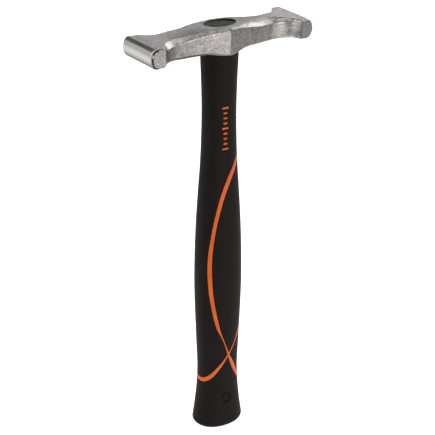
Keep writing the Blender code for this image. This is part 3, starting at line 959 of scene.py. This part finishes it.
def build_sleeve(orange):
    """The orange sleeve under the grip, with the ribs and bars that show through it."""
    tools = []
    for index, half in enumerate((LEAF_RIB, RING_RIB)):
        profile = rib_profile(RIB_DEPTH + RIB_DEEPER * index, RIBS_PROUD[index])
        tools.append(ribbon("rib", rib_stations(half), profile))
    for z, half_wide in bars():
        layers = ((0, RIB_DEPTH), (0, 0.25), (-0.08, 0.08), (-0.25, 0.0))
        tools.append(block_on_grip("bar", -BAR_MIDDLE, z, half_wide, BAR_LENGTH / 2, layers))
    mesh = cut_or_join(sleeve_mesh(), tools, "UNION")
    finish_piece("orange_sleeve", mesh, orange, "inner_sleeve", sharp=40)


# ---------------------------------------------------------------- resin and core
def build_resin(resin):
    """The cast fill, with a meniscus where it meets the eye's wall and the core."""
    rings = [seat_to_head(oval(eye_size(-SEAT_DROP, 0.3), 0), 0) - (0, 0, TOP)]
    for z in np.linspace(-17, -1.6, 16):
        rings.append(oval(eye_size(z, 0.06 if z > -8 else 0.2), z))
    outer, core = np.array(eye_size(-1, 0.06)), np.array(CORE_BORE) - 0.2
    for share, z in (
        (0, -0.75), (0.08, -0.95), (0.22, -1.12), (0.45, -1.22), (0.7, -1.2), (0.88, -1.1),
        (1, -1.02),
    ):
        rings.append(oval(outer + (core - outer) * share, z))
    rings += [oval(core, -1.6), oval(CORE_BORE, -2.2)]
    rings.append(seat_to_head(oval(CORE_BORE, 0), 0) - (0, 0, TOP))
    grid = np.array(rings)
    grid[:, :, 2] += TOP
    mesh = grid_mesh("resin", grid, closed=True)
    finish_piece("resin_fill", mesh, resin, "eye_resin", sharp=60)


def build_core(fibreglass):
    """The rod through the handle, with a rough sawn end."""
    low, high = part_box("core_rod")
    bottom, top = low[2] / MM, high[2] / MM
    rings = [oval((13, 8.4), bottom), oval(CORE_SIZE, bottom + 0.5)]
    rings += [oval(CORE_SIZE, z) for z in np.linspace(bottom + 10, top - 4, 30)]
    rings += [oval(CORE_SIZE, top - 0.45), oval((13.8, 9.2), top - 0.18), oval(CORE_END, top)]
    for share in (0.75, 0.5, 0.25, 0.02):
        rings.append(oval([size * share for size in CORE_END], top - 0.02))
    mesh = grid_mesh("core", np.array(rings))
    points = points_of(mesh)
    rough = noise(points / MM, 1.4, 21) * 0.05 * MM
    end = points[:, 2] > high[2] - 0.05 * MM
    points[:, 2] -= np.where(end, np.abs(rough), 0)
    move_points(mesh, points)
    finish_piece("core_end", mesh, fibreglass, "core_rod", sharp=60)


# ---------------------------------------------------------------- stage, lights and camera
def build_stage():
    """The plain pale floor."""
    n = Nodes("floor_paint")
    cloud = n.noise(3, 2, 0.5)
    colour = n.mix_colour(n.ramp(cloud, 0.3, 0.7), (0.86, 0.86, 0.86, 1), (0.88, 0.88, 0.88, 1))
    # the sweep lights the hammer from behind, and is evenly pale wherever it is seen
    away = n.add("ShaderNodeVectorMath", {0: n.place(), 1: FLOOR_AWAY}, operation="DOT_PRODUCT")
    lit = n.ramp(away.outputs["Value"], -0.25, -0.04, 0, FLOOR_GLOW)
    seen = n.add("ShaderNodeLightPath").outputs["Is Camera Ray"]
    paint_floor = n.done(
        Base_Color=colour, Roughness=0.9, Specular_IOR_Level=0.1,
        Emission_Color=(1, 1, 1, 1), Emission_Strength=n.mix(seen, lit, FLOOR_SEEN),
    )
    steps = 24
    grid = np.linspace(-FLOOR_HALF, FLOOR_HALF, steps + 1)
    points = [(x, y, -0.2 * MM) for y in grid for x in grid]
    row = steps + 1
    faces = [(i * row + j, i * row + j + 1, (i + 1) * row + j + 1, (i + 1) * row + j)
             for i in range(steps) for j in range(steps)]
    floor = add_object("floor", mesh_from("floor", points, faces))
    floor.data.materials.append(paint_floor)


def towards(azimuth, elevation):
    """The direction at an azimuth from -Y towards +X and an elevation, in degrees."""
    azimuth, elevation = math.radians(azimuth), math.radians(elevation)
    return Vector((
        math.sin(azimuth) * math.cos(elevation), -math.cos(azimuth) * math.cos(elevation),
        math.sin(elevation),
    ))


def area_light(name, direction, distance, size, power):
    """A soft light that faces the upper handle."""
    back = towards(*direction)
    data = bpy.data.lights.new(name, "AREA")
    data.shape = "RECTANGLE"
    data.size, data.size_y = size
    data.energy = power
    lamp = add_object(name, data)
    lamp.location = LIGHTS_AIM + back * distance
    lamp.rotation_mode = "QUATERNION"
    lamp.rotation_quaternion = (-back).to_track_quat("-Z", "Y")


def build_lights():
    """The soft lights, in a room that is white to the camera and gives no light of its own."""
    world = bpy.data.worlds.new("studio")
    bpy.context.scene.world = world
    world.use_nodes = True
    nodes, links = world.node_tree.nodes, world.node_tree.links
    room = nodes["Background"]
    room.inputs["Color"].default_value = (1, 1, 1, 1)
    seen = nodes.new("ShaderNodeLightPath").outputs["Is Camera Ray"]
    links.new(seen, room.inputs["Strength"])
    for light in LIGHTS:
        area_light(*light)


def build_camera():
    """A long lens, above the hammer and to its left."""
    back = towards(*CAMERA_DIRECTION)
    azimuth, roll = math.radians(CAMERA_DIRECTION[0]), math.radians(CAMERA_ROLL)
    level = Vector((math.cos(azimuth), math.sin(azimuth), 0))
    up = back.cross(level)
    right = math.cos(roll) * level + math.sin(roll) * up
    upright = -math.sin(roll) * level + math.cos(roll) * up
    target = level * CAMERA_ASIDE + Vector((0, 0, CAMERA_AIM_Z))
    data = bpy.data.cameras.new("camera")
    data.sensor_width = SENSOR_WIDTH
    data.lens = CAMERA_LENS
    data.clip_start, data.clip_end = 0.05, 50
    camera = add_object("camera", data)
    turned = Matrix((right, upright, back)).transposed().to_4x4()
    camera.matrix_world = Matrix.Translation(target + back * CAMERA_DISTANCE) @ turned
    bpy.context.scene.camera = camera


def build():
    steel, rubber, orange = steel_material(), grip_material(), orange_material()
    build_head(steel)
    build_resin(resin_material())
    build_core(core_material())
    build_sleeve(orange)
    build_skin(rubber)
    build_stage()
    build_lights()
    build_camera()
    bpy.context.scene.view_settings.view_transform = "Standard"


build()
